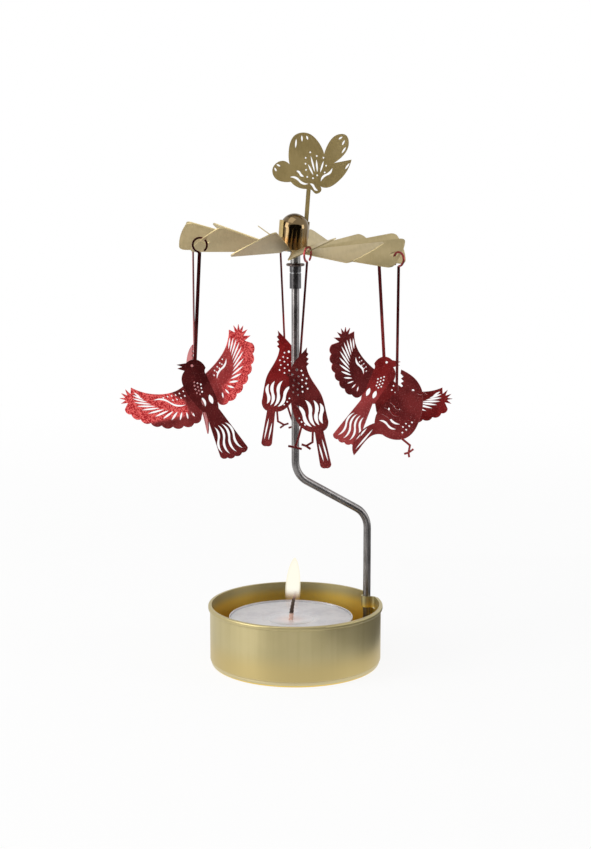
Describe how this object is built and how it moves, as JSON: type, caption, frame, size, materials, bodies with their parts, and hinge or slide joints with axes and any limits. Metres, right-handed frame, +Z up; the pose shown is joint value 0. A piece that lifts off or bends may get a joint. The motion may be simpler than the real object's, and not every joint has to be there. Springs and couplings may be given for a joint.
{
  "type": "angel chime carousel",
  "caption": "Tealight carousel: a brass cup holds the candle and a bent rod, whose needle carries a pitched rotor with hanging birds.",
  "frame": {"origin": "middle of the candle cup's underside, on the table", "axes": "+Z up through the needle, -Y towards the viewer, +X to the viewer's right"},
  "size_m": [0.1001, 0.0702, 0.1611],
  "materials": {
    "cup_brass": "satin brass plating, drawn sheet",
    "rod_steel": "bright steel wire",
    "sleeve_dark": "dark burnished steel",
    "pin_steel": "polished steel pin",
    "tealight_aluminium": "bright pressed foil",
    "candle_wax": "white wax, slightly glossy",
    "wick_cotton": "charred cotton cord",
    "sustainer_tin": "tinned sheet",
    "rotor_brass": "matt brass plating, thin sheet",
    "cap_brass": "polished brass plating",
    "bird_red": "metallic red lacquer on thin sheet"
  },
  "bodies": {
    "stand": {"candle_cup": "cup_brass", "support_rod": "rod_steel", "rod_sleeve": "sleeve_dark", "stop_washer": "sleeve_dark", "needle_pin": "pin_steel"},
    "tealight": {"tealight_cup": "tealight_aluminium", "wax": "candle_wax", "wick": "wick_cotton", "wick_sustainer": "sustainer_tin"},
    "rotor": {"blade_rotor": "rotor_brass", "hub_cap": "cap_brass", "flower_topper": "rotor_brass"},
    "flying_bird_back": {"flying_bird_back": "bird_red"},
    "slim_bird_back": {"slim_bird_back": "bird_red"},
    "round_bird_left": {"round_bird_left": "bird_red"},
    "flying_bird_front": {"flying_bird_front": "bird_red"},
    "slim_bird_front": {"slim_bird_front": "bird_red"},
    "round_bird_right": {"round_bird_right": "bird_red"}
  },
  "joints": [
    {"name": "rotor_spin", "type": "hinge", "parent": "stand", "child": "rotor", "pos_m": [0, 0, 0.13705], "axis": [0, 0, 1], "continuous": true},
    {"name": "tealight_lift", "type": "slide", "parent": "stand", "child": "tealight", "axis": [0, 0, 1], "range_m": [0, 0.025]},
    {"name": "flying_bird_back_swing", "type": "hinge", "parent": "rotor", "child": "flying_bird_back", "pos_m": [0.02571, 0.02009, 0.12584], "axis": [0.6158, -0.7879, 0], "range_deg": [-15, 45]},
    {"name": "slim_bird_back_swing", "type": "hinge", "parent": "rotor", "child": "slim_bird_back", "pos_m": [-0.00487, 0.03298, 0.1281], "axis": [0.9893, 0.146, 0], "range_deg": [-15, 45]},
    {"name": "round_bird_left_swing", "type": "hinge", "parent": "rotor", "child": "round_bird_left", "pos_m": [-0.03128, 0.01284, 0.13003], "axis": [0.3797, 0.9251, 0], "range_deg": [-15, 45]},
    {"name": "flying_bird_front_swing", "type": "hinge", "parent": "rotor", "child": "flying_bird_front", "pos_m": [-0.02709, -0.02011, 0.12977], "axis": [-0.5961, 0.8029, 0], "range_deg": [-15, 45]},
    {"name": "slim_bird_front_swing", "type": "hinge", "parent": "rotor", "child": "slim_bird_front", "pos_m": [0.00344, -0.03298, 0.12754], "axis": [-0.9946, -0.1038, 0], "range_deg": [-15, 45]},
    {"name": "round_bird_right_swing", "type": "hinge", "parent": "rotor", "child": "round_bird_right", "pos_m": [0.02988, -0.01284, 0.12544], "axis": [-0.3949, -0.9187, 0], "range_deg": [-15, 45]}
  ]
}
